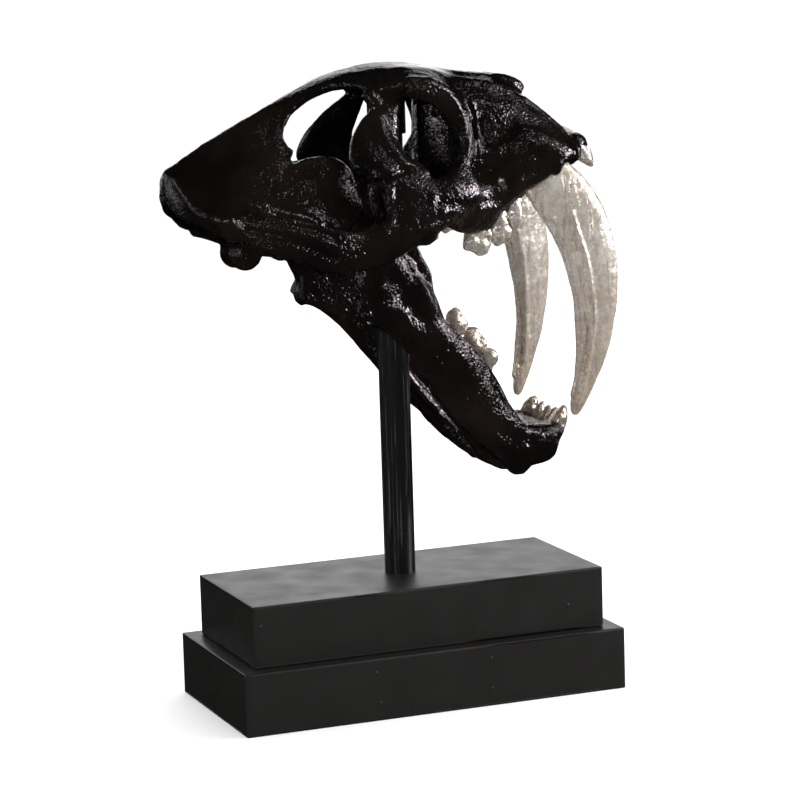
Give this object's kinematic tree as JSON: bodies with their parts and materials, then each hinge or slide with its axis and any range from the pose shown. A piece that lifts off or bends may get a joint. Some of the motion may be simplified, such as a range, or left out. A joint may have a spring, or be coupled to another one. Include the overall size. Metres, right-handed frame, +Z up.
{
  "type": "smilodon skull on a stand",
  "caption": "Life-size display cast of a sabre-toothed cat's skull in black lacquer with silver-leafed teeth, fixed jaw open on a round pole and a stepped plinth.",
  "frame": {"origin": "middle of the plinth's underside, on the surface that it stands on", "axes": "+Z up along the pole; +X along the plinth's long side, the way the skull faces; Y across, and the skull is symmetric about y = 0"},
  "size_m": [0.3695, 0.188, 0.52],
  "materials": {
    "lacquered_bone": "cast resin under black gloss lacquer, finely leathery",
    "silver_leaf": "cast resin under silver leaf, warm and a little tarnished",
    "pole_black": "satin black enamel on steel tube",
    "plinth_black": "satin black paint on wood, eased edges"
  },
  "bodies": {
    "root": {"base_lower": "plinth_black", "base_upper": "plinth_black", "pole": "pole_black", "pole_sleeve": "pole_black", "cranium": "lacquered_bone", "mandible": "lacquered_bone", "upper_canine_right": "silver_leaf", "lower_canine_right": "silver_leaf", "upper_incisor_right_1": "silver_leaf", "upper_cheek_tooth_right_1": "silver_leaf", "lower_cheek_tooth_right_1": "silver_leaf", "upper_incisor_right_2": "silver_leaf", "upper_cheek_tooth_right_2": "silver_leaf", "lower_cheek_tooth_right_2": "silver_leaf", "upper_incisor_right_3": "silver_leaf", "upper_cheek_tooth_right_3": "silver_leaf", "lower_cheek_tooth_right_3": "silver_leaf", "lower_incisor_right_1": "silver_leaf", "lower_incisor_right_2": "silver_leaf", "upper_canine_left": "silver_leaf", "lower_canine_left": "silver_leaf", "upper_incisor_left_1": "silver_leaf", "upper_cheek_tooth_left_1": "silver_leaf", "lower_cheek_tooth_left_1": "silver_leaf", "upper_incisor_left_2": "silver_leaf", "upper_cheek_tooth_left_2": "silver_leaf", "lower_cheek_tooth_left_2": "silver_leaf", "upper_incisor_left_3": "silver_leaf", "upper_cheek_tooth_left_3": "silver_leaf", "lower_cheek_tooth_left_3": "silver_leaf", "lower_incisor_left_1": "silver_leaf", "lower_incisor_left_2": "silver_leaf"}
  },
  "joints": []
}
